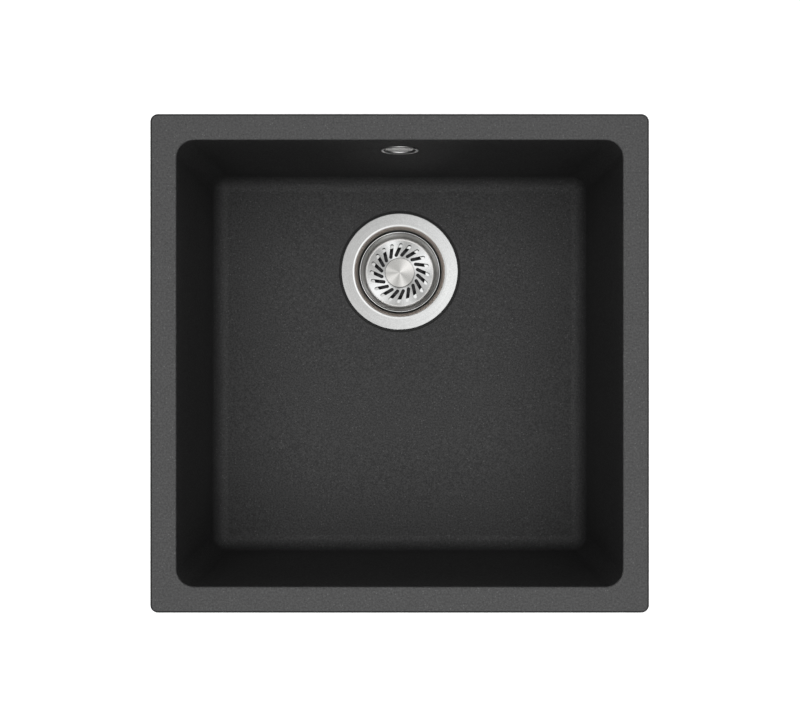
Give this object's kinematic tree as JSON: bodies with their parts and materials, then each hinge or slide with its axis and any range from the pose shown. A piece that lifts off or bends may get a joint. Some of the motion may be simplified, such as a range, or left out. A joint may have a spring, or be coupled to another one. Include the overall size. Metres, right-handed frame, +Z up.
{
  "type": "granite sink",
  "caption": "Square single-bowl granite undermount sink with a lift-out slotted strainer basket in a steel waste, and an overflow in the rear wall piped down to the waste.",
  "frame": {"origin": "middle of the rim's top face, in the mouth of the bowl", "axes": "+Z up out of the bowl, +Y to the rear where the overflow is, +X to the right"},
  "size_m": [0.42, 0.4307, 0.301],
  "materials": {
    "granite": "matte",
    "flange_steel": "satin",
    "basket_steel": "satin",
    "knob_steel": "satin",
    "screw_steel": "satin",
    "overflow_chrome": "polished",
    "waste_plastic": "matte",
    "nut_plastic": "satin",
    "pipe_plastic": "satin",
    "gasket_rubber": "matte",
    "seal_rubber": "matte",
    "insert_brass": "satin"
  },
  "bodies": {
    "sink": {"sink_bowl": "granite", "waste_flange": "flange_steel", "flange_gasket": "gasket_rubber", "body_gasket": "gasket_rubber", "waste_body": "waste_plastic", "outlet_neck": "waste_plastic", "clamp_insert": "insert_brass", "clamp_washer": "screw_steel", "clamp_screw": "screw_steel", "overflow_ring": "overflow_chrome", "overflow_cap": "overflow_chrome", "overflow_screw": "screw_steel", "overflow_insert": "insert_brass", "overflow_gasket": "gasket_rubber", "overflow_elbow": "waste_plastic", "overflow_pipe": "pipe_plastic", "upper_nut": "nut_plastic", "upper_seal": "gasket_rubber", "lower_nut": "nut_plastic", "lower_seal": "gasket_rubber"},
    "strainer": {"strainer_basket": "basket_steel", "basket_knob": "knob_steel", "basket_stem": "screw_steel", "basket_seal": "seal_rubber", "seal_washer": "screw_steel", "stem_nut": "screw_steel", "stem_ring": "seal_rubber"}
  },
  "joints": [
    {"name": "basket_lift", "type": "slide", "parent": "sink", "child": "strainer", "axis": [0, 0, 1], "range_m": [0, 0.26]}
  ]
}
